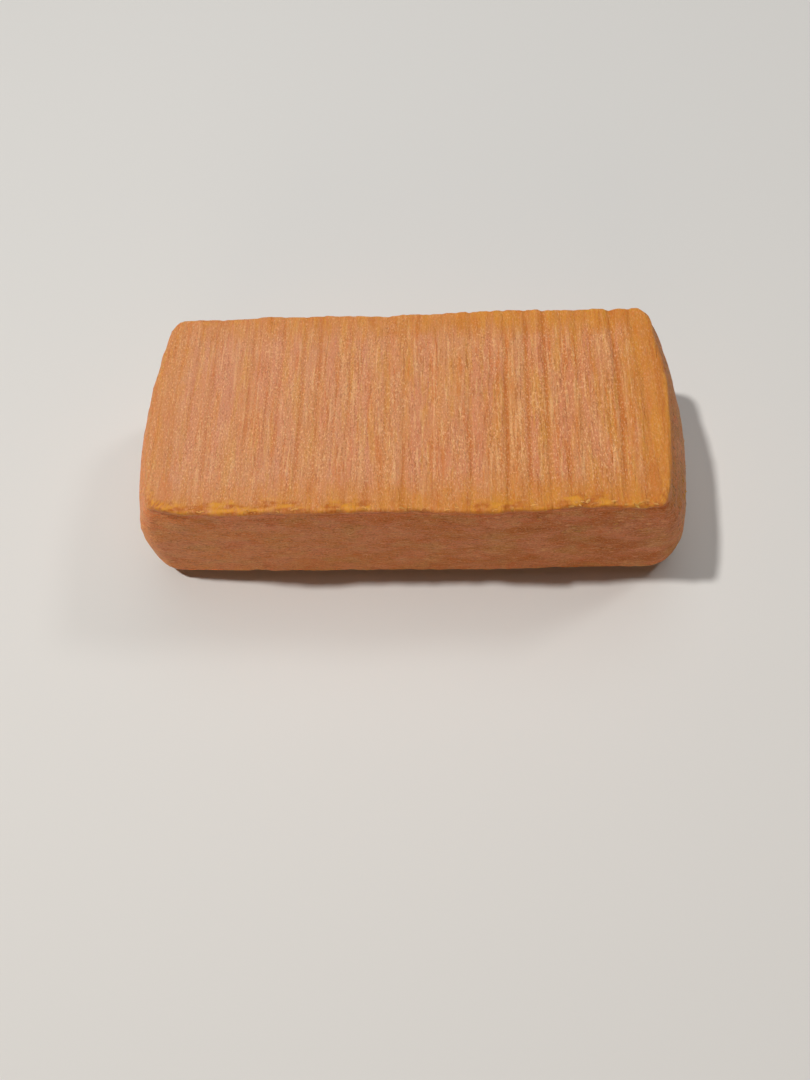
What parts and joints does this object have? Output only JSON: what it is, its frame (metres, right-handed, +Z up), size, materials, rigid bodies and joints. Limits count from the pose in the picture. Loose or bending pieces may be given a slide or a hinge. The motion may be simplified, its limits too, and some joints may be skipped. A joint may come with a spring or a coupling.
{
  "type": "oblong washed-rind soft cheese",
  "caption": "Whole oblong loaf of washed-rind soft cheese with bulging sides, straight grooves across the top and a ragged raised rind along the front top edge.",
  "frame": {"origin": "middle of the base, at the level the loaf rests on", "axes": "+X along the loaf, to the right end of the picture; +Y across it, to the back; +Z up"},
  "size_m": [0.1218, 0.0491, 0.0341],
  "materials": {
    "washed_rind": "satin, faintly moist orange-tan washed rind with fine streaks along the grooves"
  },
  "bodies": {
    "root": {"cheese_loaf": "washed_rind"}
  },
  "joints": []
}
